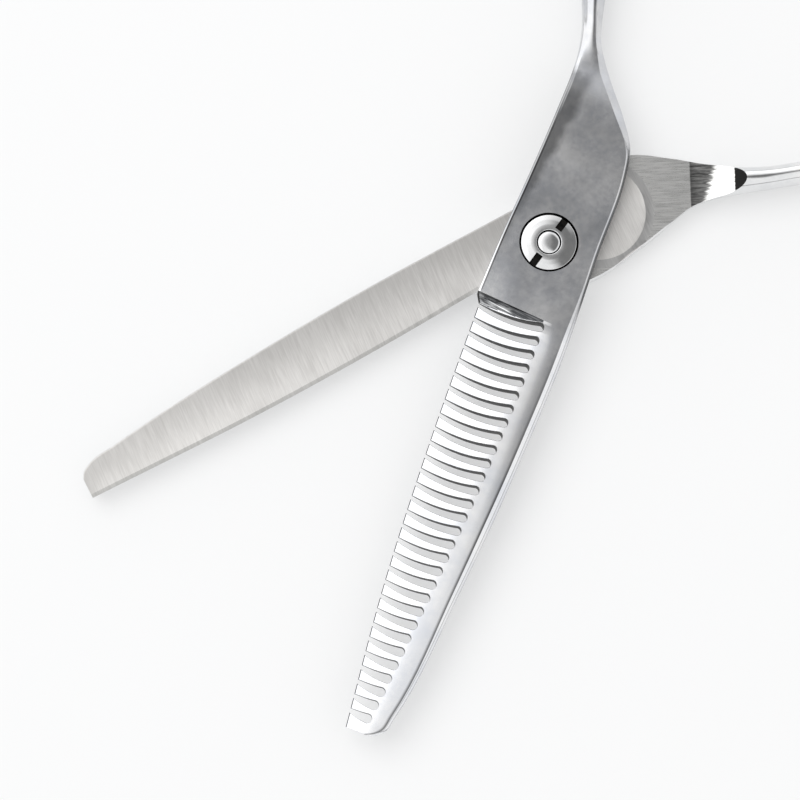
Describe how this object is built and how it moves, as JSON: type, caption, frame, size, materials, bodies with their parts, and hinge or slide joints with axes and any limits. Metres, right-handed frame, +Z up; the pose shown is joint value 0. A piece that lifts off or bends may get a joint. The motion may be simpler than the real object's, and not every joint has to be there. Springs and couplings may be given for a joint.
{
  "type": "thinning shears",
  "caption": "Hair thinning shears: a comb-toothed blade over a plain blade on a pivot with a slotted tension nut, offset finger rings, a little-finger rest and a rubber bumper.",
  "frame": {"origin": "on the pivot axis, on the flat underside of the pivot stud's head, which is the surface the shears lie on", "axes": "+Z up the pivot, out through the adjusting nut; -Y from the pivot to the tip of the toothed blade; the toothed edge faces -X; the plain half is open by 41.3 degrees at rest"},
  "size_m": [0.112, 0.169, 0.0073],
  "materials": {
    "satin_steel": "ground stainless steel, satin polished outside and finely brushed on the inner faces",
    "bright_steel": "bright turned stainless steel",
    "nylon": "plain white bearing plastic",
    "rubber": "matt black rubber"
  },
  "bodies": {
    "finger_half": {"toothed_half": "satin_steel", "pivot_bush": "nylon", "slip_washer": "nylon", "thrust_washer": "bright_steel", "finger_rest": "bright_steel", "finger_rest_washer": "bright_steel", "bumper": "rubber", "bumper_stud": "bright_steel"},
    "thumb_half": {"plain_half": "satin_steel", "pivot_stud": "bright_steel"},
    "tension_nut": {"adjusting_nut": "bright_steel", "wave_spring": "bright_steel"}
  },
  "joints": [
    {"name": "pivot", "type": "hinge", "parent": "finger_half", "child": "thumb_half", "pos_m": [0, 0, 0], "axis": [0, 0, 1], "range_deg": [-58.7, 41.3]},
    {"name": "nut_turn", "type": "hinge", "parent": "thumb_half", "child": "tension_nut", "pos_m": [0, 0, 0], "axis": [0, 0, 1], "range_deg": [-90, 90]}
  ]
}
